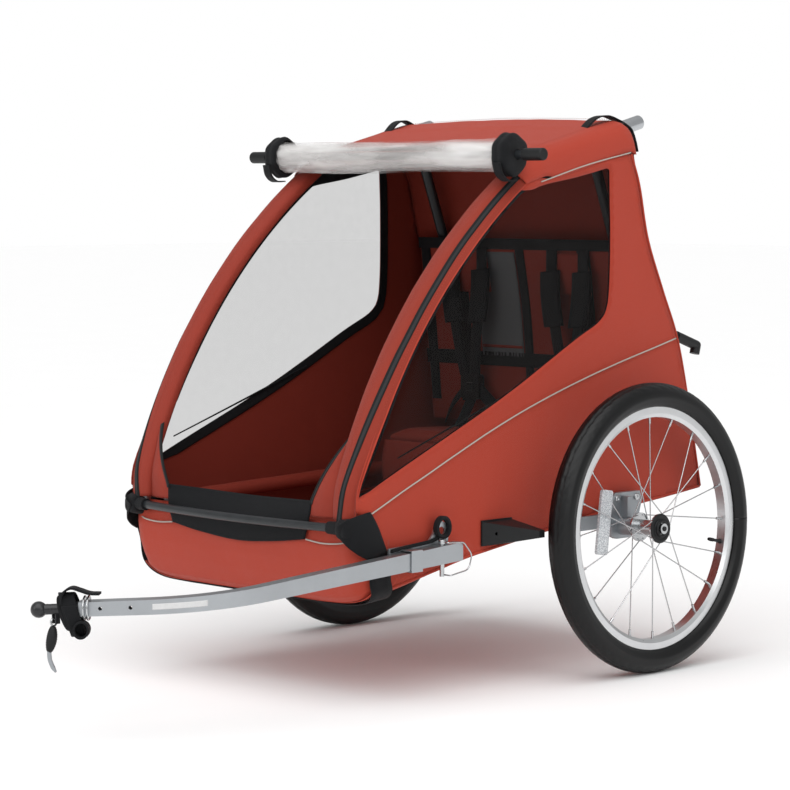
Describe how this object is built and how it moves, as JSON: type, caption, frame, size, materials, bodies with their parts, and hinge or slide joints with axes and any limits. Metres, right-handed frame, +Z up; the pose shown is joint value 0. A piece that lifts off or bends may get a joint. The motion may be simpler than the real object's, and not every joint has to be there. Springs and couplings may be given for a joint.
{
  "type": "child bicycle trailer",
  "caption": "Two-wheeled fabric-bodied trailer that carries seated children behind a bicycle, with a side tow arm and a folding roof cage.",
  "frame": {"origin": "on the ground, at the middle of the trailer's whole footprint", "axes": "+X is the child's left, the tow arm's side; -Y is the direction of travel; +Z is up"},
  "size_m": [0.8062, 1.3803, 0.9596],
  "materials": {
    "tube_metal": "satin anodised",
    "arm_metal": "satin",
    "cast_metal": "cast, matt",
    "bright_metal": "bright plated",
    "rim_metal": "satin",
    "tyre_rubber": "matt, ribbed",
    "black_plastic": "moulded, fine grain",
    "coupling_metal": "semi-gloss black",
    "coupling_grip": "semi-gloss",
    "reflector_clear": "clear prismatic",
    "red_fabric": "coated plain weave",
    "black_webbing": "woven webbing",
    "clear_vinyl": "clear, glossy, creased"
  },
  "bodies": {
    "root": {"side_rail_left": "tube_metal", "side_rail_right": "tube_metal", "rear_cross_tube": "tube_metal", "axle_tube": "tube_metal", "axle_bracket_left": "cast_metal", "axle_bracket_right": "cast_metal", "axle_pin_left": "bright_metal", "axle_pin_right": "bright_metal", "bumper_tube": "tube_metal", "corner_block_left": "black_plastic", "corner_block_right": "black_plastic", "wheel_guard_left": "black_plastic", "wheel_guard_right": "black_plastic", "frame_bolts": "bright_metal", "arm_receiver": "black_plastic", "tow_arm": "arm_metal", "hitch_ball": "coupling_metal", "hitch_strap": "black_webbing", "hitch_clip": "bright_metal", "lock_pin": "bright_metal", "tub": "red_fabric", "footwell_strap": "black_webbing", "seat_base": "red_fabric", "seat_back": "red_fabric", "harness_straps": "black_webbing", "buckles": "black_plastic", "side_panel_left": "red_fabric", "side_panel_right": "red_fabric", "rear_panel": "red_fabric"},
    "cage": {"cage_tube_left": "tube_metal", "cage_tube_right": "tube_metal", "cage_cross_tubes": "tube_metal", "strut_hangers": "black_plastic", "roof_panel": "red_fabric", "cover_rod": "tube_metal", "cover_rod_caps": "black_plastic", "rain_cover_roll": "clear_vinyl", "roof_webbing": "black_webbing"},
    "wheel_left": {"tyre_left": "tyre_rubber", "rim_left": "rim_metal", "spokes_left": "bright_metal", "hub_left": "bright_metal", "reflector_left": "reflector_clear"},
    "wheel_right": {"tyre_right": "tyre_rubber", "rim_right": "rim_metal", "spokes_right": "bright_metal", "hub_right": "bright_metal", "reflector_right": "reflector_clear"},
    "lower_struts": {"lower_strut_left": "tube_metal", "lower_strut_right": "tube_metal"},
    "upper_struts": {"upper_strut_left": "tube_metal", "upper_strut_right": "tube_metal"},
    "lever_left": {"fold_lever_left": "black_plastic"},
    "lever_right": {"fold_lever_right": "black_plastic"},
    "axle_button_left": {"release_button_left": "black_plastic"},
    "axle_button_right": {"release_button_right": "black_plastic"},
    "buckle_release_left": {"buckle_button_left": "black_plastic"},
    "buckle_release_right": {"buckle_button_right": "black_plastic"},
    "bail": {"lock_bail": "bright_metal"},
    "coupling_pin": {"hitch_pin": "coupling_grip"}
  },
  "joints": [
    {"name": "wheel_left_spin", "type": "hinge", "parent": "root", "child": "wheel_left", "pos_m": [0.371, 0.44022, 0.24993], "axis": [0.9997, 0, 0.0253], "continuous": true},
    {"name": "wheel_right_spin", "type": "hinge", "parent": "root", "child": "wheel_right", "pos_m": [-0.371, 0.44022, 0.24993], "axis": [-0.9997, 0, 0.0253], "continuous": true},
    {"name": "cage_fold", "type": "hinge", "parent": "root", "child": "cage", "pos_m": [0, -0.16678, 0.292], "axis": [-1, 0, 0], "range_deg": [0, 38], "deforming": ["side_panel_left", "side_panel_right", "rear_panel", "seat_back", "harness_straps"]},
    {"name": "lower_strut_fold", "type": "hinge", "parent": "root", "child": "lower_struts", "pos_m": [0, 0.64322, 0.32], "axis": [1, 0, 0], "range_deg": [0, 73.51]},
    {"name": "upper_strut_fold", "type": "hinge", "parent": "cage", "child": "upper_struts", "pos_m": [0, 0.46222, 0.896], "axis": [-1, 0, 0], "range_deg": [0, 64.94]},
    {"name": "fold_lever_left_turn", "type": "hinge", "parent": "lower_struts", "child": "lever_left", "pos_m": [0.271, 0.58022, 0.585], "axis": [1, 0, 0], "range_deg": [0, 25], "stiffness_Nm_per_rad": 1, "springref_deg": -17.19},
    {"name": "axle_button_left_press", "type": "slide", "parent": "root", "child": "axle_button_left", "axis": [-0.9997, 0, -0.0253], "range_m": [0, 0.002], "stiffness_N_per_m": 400, "springref_m": -0.002},
    {"name": "buckle_button_left_press", "type": "slide", "parent": "root", "child": "buckle_release_left", "axis": [0, 1, 0], "range_m": [0, 0.003], "stiffness_N_per_m": 400, "springref_m": -0.002},
    {"name": "fold_lever_right_turn", "type": "hinge", "parent": "lower_struts", "child": "lever_right", "pos_m": [-0.271, 0.58022, 0.585], "axis": [1, 0, 0], "range_deg": [0, 25], "stiffness_Nm_per_rad": 1, "springref_deg": -17.19},
    {"name": "axle_button_right_press", "type": "slide", "parent": "root", "child": "axle_button_right", "axis": [0.9997, 0, -0.0253], "range_m": [0, 0.002], "stiffness_N_per_m": 400, "springref_m": -0.002},
    {"name": "buckle_button_right_press", "type": "slide", "parent": "root", "child": "buckle_release_right", "axis": [0, 1, 0], "range_m": [0, 0.003], "stiffness_N_per_m": 400, "springref_m": -0.002},
    {"name": "lock_bail_swing", "type": "hinge", "parent": "root", "child": "bail", "pos_m": [0.314, -0.01278, 0.26], "axis": [1, 0, 0], "range_deg": [0, 100]},
    {"name": "hitch_pin_swing", "type": "hinge", "parent": "root", "child": "coupling_pin", "pos_m": [0.13749, -0.66022, 0.18188], "axis": [1, 0, 0], "range_deg": [-70, 8]}
  ],
  "couplings": [
    {"joint": "lower_strut_fold", "follows": "cage_fold", "ratio": 1.9331},
    {"joint": "upper_strut_fold", "follows": "cage_fold", "ratio": 1.7077}
  ]
}
